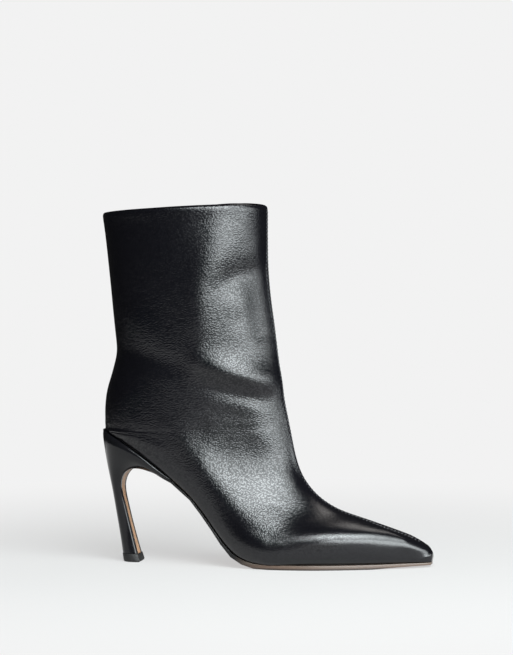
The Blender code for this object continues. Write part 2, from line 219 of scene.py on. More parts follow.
mesh = bmesh.new()
bmesh.ops.create_circle(mesh, segments=RING_SIDES, radius=NEAR_RADIUS)
spread = bmesh.ops.extrude_edge_only(mesh, edges=mesh.edges[:])["geom"]
outer = [part for part in spread if isinstance(part, bmesh.types.BMVert)]
bmesh.ops.scale(mesh, vec=(BOWL_RADIUS / NEAR_RADIUS, BOWL_RADIUS / NEAR_RADIUS, 1.0), verts=outer)
corner = [edge for edge in mesh.edges if edge.verts[0] in outer and edge.verts[1] in outer]
raised = bmesh.ops.extrude_edge_only(mesh, edges=corner)["geom"]
bmesh.ops.translate(
    mesh, vec=(0, 0, BOWL_HEIGHT), verts=[part for part in raised if isinstance(part, bmesh.types.BMVert)]
)
corner = [edge for edge in mesh.edges if edge.verts[0] in outer and edge.verts[1] in outer]
bmesh.ops.bevel(
    mesh, geom=corner, offset=SWEEP, affect="EDGES", segments=SWEEP_STEPS, profile=0.5, material=-1
)
bmesh.ops.recalc_face_normals(mesh, faces=mesh.faces)
backdrop = new_stage("paper_backdrop", mesh, paper)
backdrop.visible_glossy = False
print("floor and backdrop faces:", len(near_floor.data.polygons), len(backdrop.data.polygons))

# %% [markdown]
# ## Lights
#
# Two large softboxes stand on the toe's side, one low and one high, with a weak one overhead and a fill
# for the floor. A softbox is brightest in the middle of its cloth and dims towards its rim, and on glossy
# leather that shows as highlights with soft edges. An area light has a Parametric coordinate that runs
# from 0 to 1 across its face, so ramps on it dim the rims, where a plain area light would end in a hard
# line.

# %% List the softboxes
Softbox = namedtuple("Softbox", "name azimuth elevation distance width height radiance colour in_gloss rims")
EVEN_RIMS = (0.3, 0.3, 0.3, 0.3)
# azimuth: degrees round from the boot's outer side towards the toe; sizes in metres
# radiance: brightness of the panel's face; in_gloss: whether it shows in reflections
# rims: shares of the width or height over which it dims from its left, right, lower and upper rim
SOFTBOXES = [
    Softbox("low_toe_side_box", 58.0, 3.0, 1.6, 3.75, 0.86, 11.5, "F0F7F9", True, (0.19, 0.55, 0.35, 0.22)),
    Softbox("high_toe_side_box", 38.0, 36.0, 1.6, 2.9, 2.0, 19.5, "F0F7F9", True, (0.36, 0.58, 0.57, 0.43)),
    Softbox("overhead_box", 150.0, 58.0, 2.0, 1.2, 1.0, 2.0, "FFFBF6", True, EVEN_RIMS),
    Softbox("floor_fill", 0.0, 88.0, 2.6, 2.0, 2.0, 1.0, "FFF6EA", False, EVEN_RIMS),
]
print("softboxes:", [softbox.name for softbox in SOFTBOXES])

# %% Hang the softboxes


def dim_rims(light, rims):
    """Give the light's face a bright middle and dim rims."""
    light.use_nodes = True
    tree = light.node_tree
    tree.nodes.clear()
    face = add(tree, "SeparateXYZ", {"Vector": add(tree, "NewGeometry").outputs["Parametric"]})
    strength = 1.0
    for k, rim in enumerate(rims):
        start, end = (0.0, rim) if k % 2 == 0 else (1.0, 1.0 - rim)
        ramp = add(
            tree, "MapRange",
            {"Value": face.outputs["XY"[k // 2]], "From Min": start, "From Max": end},
            interpolation_type="SMOOTHSTEP",
        )
        both = add(tree, "Math", {0: ramp.outputs["Result"], 1: strength}, operation="MULTIPLY")
        strength = both.outputs["Value"]
    cloth = add(tree, "Emission", {"Strength": strength})
    add(tree, "OutputLight", {"Surface": cloth.outputs["Emission"]})


def hang(softbox):
    """An area light at its place round the boot, facing it."""
    turn, rise = math.radians(softbox.azimuth), math.radians(softbox.elevation)
    away = Vector((math.sin(turn) * math.cos(rise), -math.cos(turn) * math.cos(rise), math.sin(rise)))
    light = bpy.data.lights.new(softbox.name, "AREA")
    light.shape = "RECTANGLE"
    light.size, light.size_y = softbox.width, softbox.height
    light.energy = softbox.radiance * math.pi * softbox.width * softbox.height
    light.color = linear(softbox.colour)[:3]
    dim_rims(light, softbox.rims)
    lamp = bpy.data.objects.new(softbox.name, light)
    lamp.location = aim + away * softbox.distance
    lamp.rotation_euler = (-away).to_track_quat("-Z", "Y").to_euler()
    lamp.visible_glossy = softbox.in_gloss
    lamp.visible_camera = False
    bpy.context.scene.collection.objects.link(lamp)
    return lamp


for softbox in SOFTBOXES:
    lamp = hang(softbox)
    print(lamp.name, "at", tuple(round(v, 2) for v in lamp.location))

# %% Dim the room
ROOM_LIGHT = 0.02

world = bpy.data.worlds.new("dim_studio_room")
world.use_nodes = True
room = world.node_tree.nodes["Background"].inputs
room["Color"].default_value = linear("FFFFFF")
room["Strength"].default_value = ROOM_LIGHT
bpy.context.scene.world = world
bpy.context.scene.view_settings.view_transform = "Standard"
print("room light:", ROOM_LIGHT)

# %% [markdown]
# ## Upper leather
#
# The upper is cowhide, embossed with a fine pebble grain and sprayed with a black acrylic finish. The dye
# leaves almost no colour of its own. The finish gives a soft, cool gloss that the pebbles break up into a
# sparkle. Two bumps make the grain: rounded pebbles from a Voronoi pattern, and the long shallow lines
# that run between groups of pebbles. The finish is the shader's coat, thick on the pebbles' tops and thin
# in the valleys. A displacement would cost millions of faces for the same look. The real pebbles are under
# a millimetre, so they are drawn a little coarser here to show in the picture.

# %% Leather of the upper
PEBBLE, PEBBLE_HEIGHT = 1.1, 0.13
GROUP, GROUP_HEIGHT = 5.0, 0.4
# The pebbles' rows wander: over this distance in millimetres, by this much in metres
WANDER_OVER, WANDER_BY = 4.0, 1.2 * MM
# Pebbles lie a little wider than they are tall
PEBBLE_STRETCH = (0.82, 0.82, 1.15)
# The Voronoi distance on a pebble's top, in the valley between pebbles and where the grain is pulled flat
TOP, VALLEY, PULLED_FLAT = 0.3, 0.6, 0.43
FINISH_ON_TOPS, FINISH_IN_VALLEYS = 0.95, 0.42
# A noise pattern mostly lies between these values
NOISE_LOW, NOISE_HIGH = 0.3, 0.7
DYE_SMOOTHEST, DYE_ROUGHEST = 0.2, 0.25

leather, tree = new_material("embossed_cowhide_black_acrylic_finish")
place = add(tree, "TexCoord").outputs["Object"]
# Where the leather was stretched over the last, the grain is pulled flat: a share from 0 to 1 for each
# point
shown = add(tree, "Attribute", attribute_name="grain_shown")
wander = add(tree, "TexNoise", {"Vector": place, "Scale": per_metre(WANDER_OVER), "Detail": 2.0})
bent = add(
    tree, "VectorMath",
    {0: wander.outputs["Color"], 1: (WANDER_BY, WANDER_BY, WANDER_BY), 2: place},
    operation="MULTIPLY_ADD",
)
stretched = add(tree, "Mapping", {"Vector": bent.outputs["Vector"], "Scale": PEBBLE_STRETCH})
pebbles = add(
    tree, "TexVoronoi",
    {"Vector": stretched.outputs["Vector"], "Scale": per_metre(PEBBLE), "Smoothness": 0.3},
    feature="SMOOTH_F1",
)
groups = add(
    tree, "TexNoise",
    {"Vector": stretched.outputs["Vector"], "Scale": per_metre(GROUP), "Detail": 4.0, "Roughness": 0.6},
)
fine_bump = add(
    tree, "Bump",
    {
        "Height": pebbles.outputs["Distance"],
        "Strength": shown.outputs["Fac"],
        "Distance": PEBBLE_HEIGHT * MM,
    },
    invert=True,
)
bump = add(
    tree, "Bump",
    {
        "Height": groups.outputs["Fac"],
        "Strength": 0.2,
        "Distance": GROUP_HEIGHT * MM,
        "Normal": fine_bump.outputs["Normal"],
    },
)
dye = add(
    tree, "Mix",
    {"Factor": groups.outputs["Fac"], "A": linear("040406"), "B": linear("07070A")},
    data_type="RGBA",
)
rubbed = add(
    tree, "MapRange",
    {
        "Value": groups.outputs["Fac"],
        "From Min": NOISE_LOW, "From Max": NOISE_HIGH,
        "To Min": DYE_SMOOTHEST, "To Max": DYE_ROUGHEST,
    },
)
depth = add(
    tree, "Mix",
    {"Factor": shown.outputs["Fac"], "A": PULLED_FLAT, "B": pebbles.outputs["Distance"]},
)
finish = add(
    tree, "MapRange",
    {
        "Value": depth.outputs["Result"],
        "From Min": TOP, "From Max": VALLEY,
        "To Min": FINISH_ON_TOPS, "To Max": FINISH_IN_VALLEYS,
    },
    interpolation_type="SMOOTHSTEP",
)
shader = add(
    tree, "BsdfPrincipled",
    {
        "Base Color": dye.outputs["Result"],
        "Roughness": rubbed.outputs["Result"],
        "IOR": 1.5,
        "Specular IOR Level": 0.1,
        "Normal": bump.outputs["Normal"],
        "Coat Weight": finish.outputs["Result"],
        "Coat Roughness": 0.21,
        "Coat IOR": 1.55,
        "Coat Normal": bump.outputs["Normal"],
    },
)
add(tree, "OutputMaterial", {"Surface": shader.outputs["BSDF"]})
print("leather nodes:", len(tree.nodes))

# %% [markdown]
# ## Lining
#
# Inside, boots like this are often lined with thin pigskin: matt, beige, with its tiny hair pores in
# groups. Nothing of it shows in the photograph, so its colour is chosen to go with the sole. Voronoi cells
# stand for the pores, because a noise alone would look like cloth.

# %% Pigskin lining
PORE, PORE_DEPTH = 1.6, 0.15
LINING_NAP = 9.0

lining, tree = new_material("unfinished_pigskin_lining")
place = add(tree, "TexCoord").outputs["Object"]
pores = add(tree, "TexVoronoi", {"Vector": place, "Scale": per_metre(PORE)})
nap = add(tree, "TexNoise", {"Vector": place, "Scale": per_metre(LINING_NAP), "Detail": 4.0})
tone = add(
    tree, "Mix",
    {"Factor": nap.outputs["Fac"], "A": linear("A48C74"), "B": linear("B79F87")},
    data_type="RGBA",
)
bump = add(
    tree, "Bump",
    {"Height": pores.outputs["Distance"], "Strength": 0.3, "Distance": PORE_DEPTH * MM},
)
shader = add(
    tree, "BsdfPrincipled",
    {"Base Color": tone.outputs["Result"], "Roughness": 0.78, "Normal": bump.outputs["Normal"]},
)
add(tree, "OutputMaterial", {"Surface": shader.outputs["BSDF"]})
print("lining nodes:", len(tree.nodes))

# %% [markdown]
# ## Copying a piece of the frame
#
# A node of the frame is a cloud of loose triangles that already face outwards. A copy gets its corners
# merged, and then its triangles are paired back into quads, because a subdivision surface flows along
# quads and wrinkles on triangles.

# %% Copy helpers
MERGE = 0.005 * MM
PAIR_ANGLE = math.radians(50)


def merged_copy(node):
    """A bmesh of this node with shared corners and quads."""
    mesh = bmesh.new()
    mesh.from_mesh(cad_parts[node].data)
    bmesh.ops.remove_doubles(mesh, verts=mesh.verts, dist=MERGE)
    bmesh.ops.join_triangles(
        mesh, faces=mesh.faces, angle_face_threshold=PAIR_ANGLE, angle_shape_threshold=PAIR_ANGLE
    )
    return mesh


def new_piece(name, mesh, materials):
    """A smooth-shaded object at the origin from a bmesh."""
    data = bpy.data.meshes.new(name)
    mesh.to_mesh(data)
    mesh.free()
    kept_normals = data.attributes.get("custom_normal")
    if kept_normals:
        data.attributes.remove(kept_normals)
    data.shade_smooth()
    for material in materials:
        data.materials.append(material)
    piece = bpy.data.objects.new(name, data)
    bpy.context.scene.collection.objects.link(piece)
    return piece


def apply_modifiers(piece):
    """Work the piece's modifiers into its mesh."""
    graph = bpy.context.evaluated_depsgraph_get()
    data = bpy.data.meshes.new_from_object(piece.evaluated_get(graph))
    piece.modifiers.clear()
    piece.data = data


def stand_for(piece, node):
    """Let the piece be seen in place of this node of the frame."""
    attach(piece, "root")
    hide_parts(node)


upper_mesh = merged_copy("upper")
quads = sum(len(face.verts) == 4 for face in upper_mesh.faces)
print("upper:", len(upper_mesh.verts), "corners,", quads, "quads")

# %% [markdown]
# ## Inside and outside of the upper
#
# The wall has an outer face in leather and an inner face in lining. A line through the middle of the leg
# and foot tells them apart: an inner face looks towards it and an outer face looks away. At the collar the
# leather is folded over to the inside for a few millimetres, so that strip stays leather. Picking the
# faces by hand would do as well, but not survive a change to the frame.

# %% Sort the faces
# Middle of the leg and the foot in the side view: distance from the heel and height
MIDLINE = [
    (61, 275), (63, 200), (68, 150), (68, 118), (90, 85), (112, 48),
    (134, 20), (165, 17), (195, 14), (222, 11), (238, 9),
]
FOLD_DEPTH = 9.0
# Height of the collar's edge at the back, its rise along the collar's length, and its rise at the sides
COLLAR_BACK, FRONT_RISE, COLLAR_LENGTH = 254.0, 6.0, 122.6
SIDE_RISE, COLLAR_HALF_WIDTH = 3.2, 36.0
# A face looks inwards when the cosine between its normal and the way to the midline is above this
LOOKS_INWARDS = 0.25
LEATHER_FACE, LINING_FACE = 0, 1


def nearest_on_midline(point):
    """The place on the midline that is nearest to this point."""
    best = None
    for (x0, z0), (x1, z1) in zip(MIDLINE[:-1], MIDLINE[1:]):
        start, end = boot_point(x0, 0, z0), boot_point(x1, 0, z1)
        run = end - start
        share = min(max((point - start).dot(run) / run.length_squared, 0.0), 1.0)
        spot = start + run * share
        if best is None or (spot - point).length < (best - point).length:
            best = spot
    return best


def collar_height(point):
    """Height of the collar's edge above this point: it rises to the front and at the sides."""
    from_heel = (point.x - HEEL_BACK) / MM
    across = (point.y - RIDGE_Y) / MM
    to_front = FRONT_RISE * from_heel / COLLAR_LENGTH
    to_side = SIDE_RISE * abs(across) / COLLAR_HALF_WIDTH
    return (COLLAR_BACK + to_front + to_side) * MM


for face in upper_mesh.faces:
    centre = face.calc_center_median()
    inwards = (nearest_on_midline(centre) - centre).normalized()
    is_inner = face.normal.dot(inwards) > LOOKS_INWARDS
    in_fold = centre.z > collar_height(centre) - FOLD_DEPTH * MM
    face.material_index = LINING_FACE if is_inner and not in_fold else LEATHER_FACE
print("lining faces:", sum(face.material_index for face in upper_mesh.faces))

# %% [markdown]
# ## Smoothing and subdividing the wall
#
# The frame's wall is made of flat facets a few millimetres across. Two rounds of subdivision make them
# fine enough to carry creases, and a light smoothing beforehand takes the last steps out of the section
# lines. The top of the toe's tip is smoothed a little more, or its facets would show as a jagged wedge.

# %% Subdivide the wall
SMOOTHING, SMOOTHING_ROUNDS = 0.4, 3
SUBDIVISIONS = 2
# Left as they are: this much beside the front and back lines and below the collar, but not the toe's tip
KEPT = 6.0 * MM
TIP_FROM, TIP_TOP = boot_point(228.0, 0, 0).x, 14.0 * MM
# Smoothed further: the top of the toe's tip
ROUND_TIP_FROM, ROUND_TIP_LOW = boot_point(230.0, 0, 0).x, 9.0 * MM
ROUND_TIP_ROUNDS = 4


def smooth_out(mesh, verts, factor, rounds):
    """Draw these corners towards their neighbours, a few times over."""
    for _ in range(rounds):
        bmesh.ops.smooth_vert(
            mesh, verts=verts, factor=factor, use_axis_x=True, use_axis_y=True, use_axis_z=True
        )


seamless = [
    v for v in upper_mesh.verts
    if (abs(v.co.y - RIDGE_Y) > KEPT or v.co.x > TIP_FROM and v.co.z < TIP_TOP)
    and v.co.z < collar_height(v.co) - KEPT
    and len({f.material_index for f in v.link_faces}) == 1
]
smooth_out(upper_mesh, seamless, SMOOTHING, SMOOTHING_ROUNDS)
tip = [v for v in upper_mesh.verts if v.co.x > ROUND_TIP_FROM and v.co.z > ROUND_TIP_LOW]
smooth_out(upper_mesh, tip, SMOOTHING, ROUND_TIP_ROUNDS)
upper = new_piece("boot_upper", upper_mesh, [leather, lining])
rounding = upper.modifiers.new("rounding", "SUBSURF")
rounding.levels = SUBDIVISIONS
rounding.render_levels = SUBDIVISIONS
apply_modifiers(upper)
print("upper faces:", len(upper.data.polygons))

# %% [markdown]
# ## Creases
#
# The leather is soft at the ankle and has been handled, so it carries a bend crease that runs from the nip
# at the back to the front, a bulge above it, a dent on the shaft and a few lesser ones. Over the toe it
# lies full along a shoulder. Each is a soft trough or ridge along a curve drawn on the side of the boot: a
# start, a middle and an end, a width and a depth. A vertex near the curve moves along its own normal.
# Sculpting could do the same, but a table can be read and changed.

# %% Place the creases
Crease = namedtuple("Crease", "name x0 z0 x1 z1 x2 z2 width depth inner_share")
# points: from the heel and up from the floor; depth: negative for a trough
# inner_share: how much of it the inner side shows
CREASES = [
    Crease("bend, back", 8, 154, 44, 150, 84, 137, 8.0, -0.8, 1.0),
    Crease("bend, front", 78, 132, 105, 124, 131, 116, 6.0, -0.4, 0.9),
    Crease("bulge over the bend", 80, 146, 106, 139, 131, 131, 10.0, 4.4, 0.8),
    Crease("swell under the bend", 84, 122, 104, 118, 124, 112, 6.0, 0.7, 0.8),
    Crease("fold line of the shaft", 122, 280, 86, 230, 77, 150, 11.0, 1.4, 0.5),
    Crease("hollow beside the front seam", 116, 210, 118, 188, 120.5, 160, 7.5, -2.7, 0.6),
    Crease("hollow of the ankle", 84, 86, 112, 75, 146, 61, 20.0, -3.2, 0.6),
    Crease("swell of the instep", 112, 134, 119, 104, 130, 80, 9.0, 1.1, 0.6),
    Crease("band down the shaft", 112, 254, 98, 230, 88, 200, 9.0, 1.3, 0.5),
    Crease("dent in the shaft", 92, 202, 107, 209, 122, 219, 10.0, -2.4, 0.4),
    Crease("dimple", 99, 177, 107, 179, 116, 178, 7.0, -0.6, 0.3),
    Crease("pinch at the seam", 114, 168, 121, 167, 130, 165, 3.0, -0.5, 0.8),
    Crease("swell at the back", 20, 186, 34, 176, 50, 160, 10.0, 0.8, 0.6),
    Crease("fold line of the vamp", 58, 98, 86, 66, 116, 28, 10.0, 1.3, 0.4),
    Crease("swell of the ball", 112, 8, 121, 26, 126, 46, 20.0, 2.0, 0.6),
    Crease("toe shoulder", 130, 18.5, 172, 26.2, 208, 25.5, 9.0, 3.0, 0.1),
    Crease("front of the ball", 121, 6, 125, 14, 129, 24, 18.0, 1.5, 0.6),
    Crease("swell over the toe's shoulder", 124, 37, 141, 31.5, 162, 28.5, 8.0, 0.6, 0.4),
    Crease("brow of the toe's tip", 220, 19, 234, 15.5, 248, 12, 4.5, 1.2, 0.4),
    Crease("fullness above the seat", 2, 97, 24, 93.5, 50, 85, 4.5, 0.9, 1.0),
    Crease("top of the toe wall", 140, 18, 190, 22, 240, 14.5, 5.0, 1.2, 0.6),
    Crease("shoulder of the toe's tip", 196, 25.5, 219, 22.5, 242, 16.5, 4.5, 1.6, 0.0),
]
CURVE_STEPS = 96
# A crease is deepest in its middle and fades as a half wave does, of which it shows this stretch
WAVE_START, WAVE_SPAN = 0.12, 0.76


def crease_line(crease):
    """Points along the crease in the side view, in millimetres: a curve through its three points."""
    share = np.linspace(0.0, 1.0, CURVE_STEPS)[:, None]
    start = np.array((crease.x0, crease.z0), float)
    middle = np.array((crease.x1, crease.z1), float)
    end = np.array((crease.x2, crease.z2), float)
    handle = 2.0 * middle - 0.5 * (start + end)
    return (1 - share) ** 2 * start + 2 * share * (1 - share) * handle + share**2 * end


def crease_lift(crease, spots):
    """How far each spot in the side view is lifted by this crease, in millimetres."""
    line = crease_line(crease)
    apart = np.linalg.norm(spots[:, None, :] - line[None, :, :], axis=2)
    nearest = apart.min(axis=1)
    along = apart.argmin(axis=1) / (CURVE_STEPS - 1)
    fade = np.sin(np.pi * np.clip(WAVE_START + WAVE_SPAN * along, 0, 1))
    return crease.depth * fade * np.exp(-((nearest / crease.width) ** 2))


print("creases:", len(CREASES))

# %% [markdown]
# ## Front seam
#
# The two halves of the upper meet in a seam that runs from the collar down the instep to the toe. It shows
# as a fine groove between two rounded edges, and the leather sinks a little towards it. Edge loops with a
# bevel could carry it. A depth that is worked out from the distance to a line needs no loops there.

# %% Draw the front seam
# Where the seam runs in the side view, from the collar to the toe: distance from the heel and height
SEAM_ROUTE = [
    (122.6, 258), (122.6, 232), (124.5, 199), (128.4, 170), (130.9, 147), (133.0, 130),
    (136.4, 113.5), (139.9, 97), (143.7, 79.4), (147.6, 67.4), (153.2, 58), (161.4, 49.1),
    (171, 42.6), (181.5, 38), (194, 33.6), (208, 28.6), (222, 23.9), (234, 19.3),
]
TOE_SWING = 2.4
SWING_FROM, SWING_TO = 145.0, TOE_TIP
GROOVE, GROOVE_HALF = 0.4, 0.8
EDGE_RISE, EDGE_AT, EDGE_HALF = 0.1, 2.4, 1.1
SEAM_REACH = 6.0
SINK_HALF = 6.0
# How far the seam sinks between its two halves: distance from the heel and depth
SEAM_SINK = [(120, 0.6), (190, 0.6), (215, 1.0), (240, 0.6)]


def seam_across(from_heel):
    """Sideways place of the seam: it follows the toe as that swings inwards."""
    share = np.clip((from_heel - SWING_FROM) / (SWING_TO - SWING_FROM), 0, 1)
    return TOE_SWING * share**2 * (3 - 2 * share)


def off_route(spots):
    """Distance of each spot in the side view from the seam's line."""
    nearest = np.full(len(spots), np.inf)
    for start, end in zip(SEAM_ROUTE[:-1], SEAM_ROUTE[1:]):
        start, run = np.array(start), np.array(end) - np.array(start)
        share = np.clip((spots - start) @ run / (run @ run), 0, 1)
        nearest = np.minimum(nearest, np.linalg.norm(spots - start - share[:, None] * run, axis=1))
    return nearest


def seam_lift(spots, y):
    """The seam's groove and the two rounded edges beside it, in millimetres."""
    aside = np.abs((y - RIDGE_Y) / MM - seam_across(spots[:, 0]))
    edges = EDGE_RISE * np.exp(-(((aside - EDGE_AT) / EDGE_HALF) ** 2))
    groove = GROOVE * np.exp(-((aside / GROOVE_HALF) ** 2))
    depth = np.interp(spots[:, 0], *zip(*SEAM_SINK))
    sink = depth * np.exp(-((aside / SINK_HALF) ** 2))
    return (edges - groove - sink) * (off_route(spots) < SEAM_REACH)


print("seam swings", round(float(seam_across(SEAM_ROUTE[-1][0])), 2), "mm to the inner side")

# %% [markdown]
# ## Moving the wall
#
# All corners of the wall are read into one array, moved along their normals and written back. A Displace
# modifier could move them too, but the array lets the lining follow the leather, so that the wall keeps
# its thickness. Near the seam the creases fade out, because the seam's extra layers hold the leather
# straight.

# %% Read the wall
data = upper.data
places = np.empty(len(data.vertices) * 3)
data.vertices.foreach_get("co", places)
places = places.reshape(-1, 3)
normals = np.empty(len(data.vertices) * 3)
data.vertices.foreach_get("normal", normals)
normals = normals.reshape(-1, 3)
# Each corner in the side view: from the heel and up from the floor, in millimetres
spots = np.column_stack((places[:, 0] - HEEL_BACK, places[:, 2])) / MM
inner_wall = np.zeros(len(places), bool)
for polygon in data.polygons:
    if polygon.material_index == LINING_FACE:
        inner_wall[list(polygon.vertices)] = True
print("corners:", len(places), "with", int(inner_wall.sum()), "on the lining")

# %% Move the wall
# Creases fade towards the seam over this distance to each side: from the heel and distance
CREASE_FADE = [(132, 3.0), (150, 6.0), (190, 6.0), (212, 12.0)]
# Subdivision draws a round shape in a little, and this puts it back
FULLNESS = 0.3

outer_share = np.where(places[:, 1] < RIDGE_Y, 1.0, 0.0)
lift = np.zeros(len(places))
for crease in CREASES:
    here = crease_lift(crease, spots)
    lift += here * (outer_share + (1.0 - outer_share) * crease.inner_share)
aside = np.abs(places[:, 1] - RIDGE_Y) / MM
fade_over = np.interp(spots[:, 0], *zip(*CREASE_FADE))
clear_of_seam = np.where(off_route(spots) < fade_over, np.clip(aside / fade_over, 0, 1), 1.0)
lift *= clear_of_seam
lift += np.where(inner_wall, 0.0, FULLNESS * clear_of_seam + seam_lift(spots, places[:, 1]))
direction = np.where(inner_wall, -1.0, 1.0)
places += normals * (direction * lift)[:, None] * MM
print("lift from", round(lift.min(), 2), "to", round(lift.max(), 2), "mm")

# %% [markdown]
# ## Collar and toe's tip
#
# At the collar the sides flare out a little, and the leather folds over the edge in a small roll. At its
# other end the toe's tip is one smooth round form. Its creases meet there, so it is smoothed once more
# over all of them.

# %% Flare the collar
FLARE_HEIGHT, FLARE = 14.0, 1.3
ROLL_HEIGHT, ROLL_DEPTH = 1.6, 0.6

rim = np.array([collar_height(Vector(p)) for p in places])
below_rim = np.clip((rim - places[:, 2]) / MM, 0, FLARE_HEIGHT)
flare = FLARE * normals[:, 1] ** 2 * (1.0 - below_rim / FLARE_HEIGHT) ** 2
roll = ROLL_DEPTH * np.clip(1.0 - below_rim / ROLL_HEIGHT, 0, 1) ** 2
sideways = np.column_stack((normals[:, 0], normals[:, 1], np.zeros(len(normals))))
places += sideways * np.where(inner_wall, 0.0, flare - roll)[:, None] * MM
data.vertices.foreach_set("co", places.ravel())
data.update()
print("collar flares by up to", round(flare.max(), 2), "mm")

# %% Smooth the toe's tip
FINE_TIP_FROM, FINE_TIP_LOW = boot_point(226.0, 0, 0).x, 5.5 * MM
FINE_TIP_SMOOTHING, FINE_TIP_ROUNDS = 0.5, 12

mesh = bmesh.new()
mesh.from_mesh(data)
tip = [
    v for v in mesh.verts
    if v.co.x > FINE_TIP_FROM and v.co.z > FINE_TIP_LOW and not inner_wall[v.index]
]
smooth_out(mesh, tip, FINE_TIP_SMOOTHING, FINE_TIP_ROUNDS)
print("tip corners:", len(tip))
mesh.to_mesh(data)
mesh.free()
data.update()

# %% [markdown]
# ## Where the grain shows
#
# The upper was pulled hard over the last along the sole and at the toe, which flattens the grain there. A
# painted mask could say where. Here each corner gets a share worked out from its distance to the sole and
# to the toe, kept as an attribute that the leather's material reads.

# %% Spread the grain
# Grain: flat up to one distance from the sole and full from another, and likewise from the toe back
MARGIN_FLAT, MARGIN_FULL = 8.0, 22.0
TOE_FLAT, TOE_FULL = 195.0, 150.0
GRAIN_LEAST = 0.12

sole_mesh = merged_copy("outsole")
sole_tree = BVHTree.FromBMesh(sole_mesh)
sole_mesh.free()
off_sole = np.array([sole_tree.find_nearest(Vector(p))[3] for p in places]) / MM
above_margin = np.clip((off_sole - MARGIN_FLAT) / (MARGIN_FULL - MARGIN_FLAT), 0, 1)
behind_toe = np.clip((spots[:, 0] - TOE_FLAT) / (TOE_FULL - TOE_FLAT), 0, 1)
shown_share = GRAIN_LEAST + (1.0 - GRAIN_LEAST) * above_margin * behind_toe
grain = data.attributes.new("grain_shown", "FLOAT", "POINT")
grain.data.foreach_set("value", shown_share)
stand_for(upper, "upper")
print("grain shown from", round(shown_share.min(), 2), "to", round(shown_share.max(), 2))

# %% [markdown]
# ## Stitches
#
# A row of small stitches holds each edge of the seam down. Each stitch is a short rounded thread that lies
# in the leather: a stretched sphere, which is cheap enough to repeat. A ray cast at the finished upper
# finds where it goes and which way the surface faces there, so the rows follow every crease.

# %% Thread of the seam
# Bonded polyester is twisted tight and smooth: hardly lighter than the leather, with a dull sheen
FIBRE = 0.4

thread, tree = new_material("bonded_black_polyester_thread")
place = add(tree, "TexCoord").outputs["Object"]
fibre = add(tree, "TexNoise", {"Vector": place, "Scale": per_metre(FIBRE), "Detail": 2.0})
tone = add(
    tree, "Mix",
    {"Factor": fibre.outputs["Fac"], "A": linear("17171A"), "B": linear("2A2A2E")},
    data_type="RGBA",
)
shader = add(tree, "BsdfPrincipled", {"Base Color": tone.outputs["Result"], "Roughness": 0.45})
add(tree, "OutputMaterial", {"Surface": shader.outputs["BSDF"]})
print("thread nodes:", len(tree.nodes))

# %% Sew the front seam
STITCH_PITCH, STITCH_LENGTH = 2.7, 1.9
THREAD = 0.5
STITCH_SIDES, STITCH_RINGS = 6, 5
ROW_ASIDE = 2.0
RAY_FROM = 15.0
LOOK_AHEAD = 0.5


def along_route(pitch):
    """Points every pitch along the seam's line, each with the direction it runs in, in the side view."""
    route = np.array(SEAM_ROUTE)
    steps = np.linalg.norm(np.diff(route, axis=0), axis=1)
    reach = np.concatenate(([0.0], np.cumsum(steps)))
    for distance in np.arange(pitch, reach[-1], pitch):
        here = np.array([np.interp(distance, reach, route[:, k]) for k in (0, 1)])
        ahead = np.array([np.interp(distance + LOOK_AHEAD, reach, route[:, k]) for k in (0, 1)])
        yield here, (ahead - here) / np.linalg.norm(ahead - here)


surface = BVHTree.FromPolygons([v.co for v in data.vertices], [p.vertices for p in data.polygons])
mesh = bmesh.new()
for here, run in along_route(STITCH_PITCH):
    outwards = Vector((-run[1], 0.0, run[0]))
    for side in (-1, 1):
        beside = boot_point(here[0], seam_across(here[0]) + side * ROW_ASIDE, here[1])
        spot, normal, _, _ = surface.ray_cast(beside + outwards * RAY_FROM * MM, -outwards)
        if spot is None:
            continue
        forward = Vector((run[0], 0.0, run[1]))
        forward = (forward - normal * forward.dot(normal)).normalized()
        turn = Matrix((forward, normal.cross(forward), normal)).transposed().to_4x4()
        size = Matrix.Diagonal((STITCH_LENGTH * MM / 2, THREAD * MM / 2, THREAD * MM / 2, 1.0))
        bmesh.ops.create_uvsphere(
            mesh, u_segments=STITCH_SIDES, v_segments=STITCH_RINGS, radius=1.0,
            matrix=Matrix.Translation(spot) @ turn @ size,
        )
stitches = new_piece("front_seam_stitches", mesh, [thread])
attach(stitches, "root")
print("stitch faces:", len(stitches.data.polygons))

# %% [markdown]
# ## Heel
#
# The heel is a moulded block covered in one piece of thin smooth leather, glued and pulled tight, so its
# grain is almost pressed flat and it shines more evenly than the upper. Its edges are where leather folds
# over the block: a narrow rounding, made with a bevel. The two corners at its front are rounder, so they
# get a wider bevel first.

# %% Leather of the heel cover
COVER_PEBBLE, COVER_CLOUD = 1.1, 12.0
COVER_SMOOTHEST, COVER_ROUGHEST = 0.12, 0.17

cover, tree = new_material("glued_smooth_leather_heel_cover")
place = add(tree, "TexCoord").outputs["Object"]
pebbles = add(tree, "TexVoronoi", {"Vector": place, "Scale": per_metre(COVER_PEBBLE)}, feature="SMOOTH_F1")
cloud = add(tree, "TexNoise", {"Vector": place, "Scale": per_metre(COVER_CLOUD), "Detail": 3.0})
bump = add(tree, "Bump", {"Height": pebbles.outputs["Distance"], "Strength": 0.08, "Distance": 0.2 * MM})
tone = add(
    tree, "Mix",
    {"Factor": cloud.outputs["Fac"], "A": linear("08080A"), "B": linear("0E0E10")},
    data_type="RGBA",
)
rubbed = add(
    tree, "MapRange",
    {
        "Value": cloud.outputs["Fac"],
        "From Min": NOISE_LOW, "From Max": NOISE_HIGH,
        "To Min": COVER_SMOOTHEST, "To Max": COVER_ROUGHEST,
    },
)
shader = add(
    tree, "BsdfPrincipled",
    {
        "Base Color": tone.outputs["Result"],
        "Roughness": rubbed.outputs["Result"],
        "IOR": 1.38,
        "Normal": bump.outputs["Normal"],
    },
)
add(tree, "OutputMaterial", {"Surface": shader.outputs["BSDF"]})
